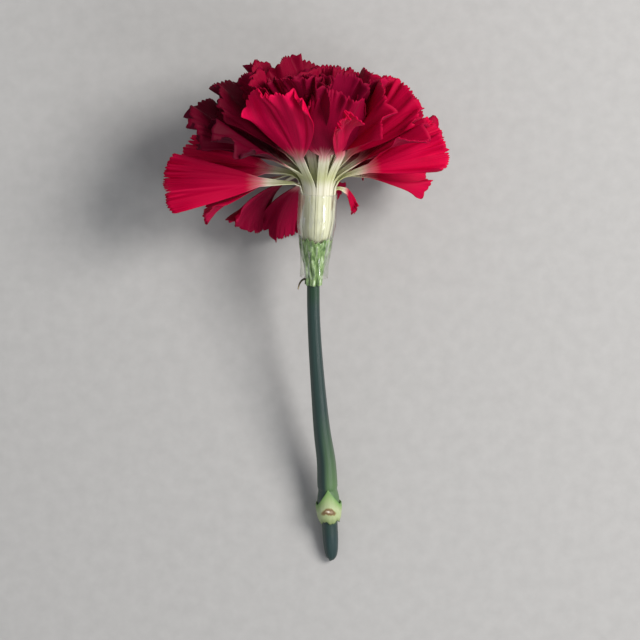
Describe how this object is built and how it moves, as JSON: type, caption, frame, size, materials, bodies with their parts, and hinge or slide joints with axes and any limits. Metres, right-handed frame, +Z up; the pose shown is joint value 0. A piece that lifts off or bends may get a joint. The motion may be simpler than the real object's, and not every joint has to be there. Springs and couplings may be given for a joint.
{
  "type": "cut carnation",
  "caption": "Cut carnation lying on its side: a fan of ruffled crimson petals, pale claws held by a clear tape sleeve, a torn green calyx base and a short stem with one node.",
  "frame": {"origin": "middle of the underside of the box round the lying flower, on the surface it lies on", "axes": "+Y from the cut end of the stem towards the flower head, +Z up from the surface, +X to the right"},
  "size_m": [0.079, 0.1452, 0.0644],
  "materials": {
    "petal": "matte",
    "calyx": "satin",
    "tape": "gloss",
    "stem": "satin",
    "sheath": "satin"
  },
  "bodies": {
    "root": {"bract_scrap": "calyx", "calyx_base": "calyx", "clear_tape_sleeve": "tape", "guard_petal_01": "petal", "guard_petal_02": "petal", "guard_petal_03": "petal", "guard_petal_04": "petal", "guard_petal_05": "petal", "guard_petal_06": "petal", "guard_petal_07": "petal", "guard_petal_08": "petal", "guard_petal_09": "petal", "guard_petal_10": "petal", "heart_petal_01": "petal", "heart_petal_02": "petal", "heart_petal_03": "petal", "heart_petal_04": "petal", "heart_petal_05": "petal", "inner_petal_01": "petal", "inner_petal_02": "petal", "inner_petal_03": "petal", "inner_petal_04": "petal", "inner_petal_05": "petal", "inner_petal_06": "petal", "inner_petal_07": "petal", "inner_petal_08": "petal", "leaf_sheath": "sheath", "middle_petal_01": "petal", "middle_petal_02": "petal", "middle_petal_03": "petal", "middle_petal_04": "petal", "middle_petal_05": "petal", "middle_petal_06": "petal", "middle_petal_07": "petal", "middle_petal_08": "petal", "middle_petal_09": "petal", "middle_petal_10": "petal", "middle_petal_11": "petal", "outer_petal_01": "petal", "outer_petal_02": "petal", "outer_petal_03": "petal", "outer_petal_04": "petal", "outer_petal_05": "petal", "outer_petal_06": "petal", "outer_petal_07": "petal", "outer_petal_08": "petal", "outer_petal_09": "petal", "outer_petal_10": "petal", "outer_petal_11": "petal", "outer_petal_12": "petal", "stem": "stem", "stray_petal_01": "petal"}
  },
  "joints": []
}
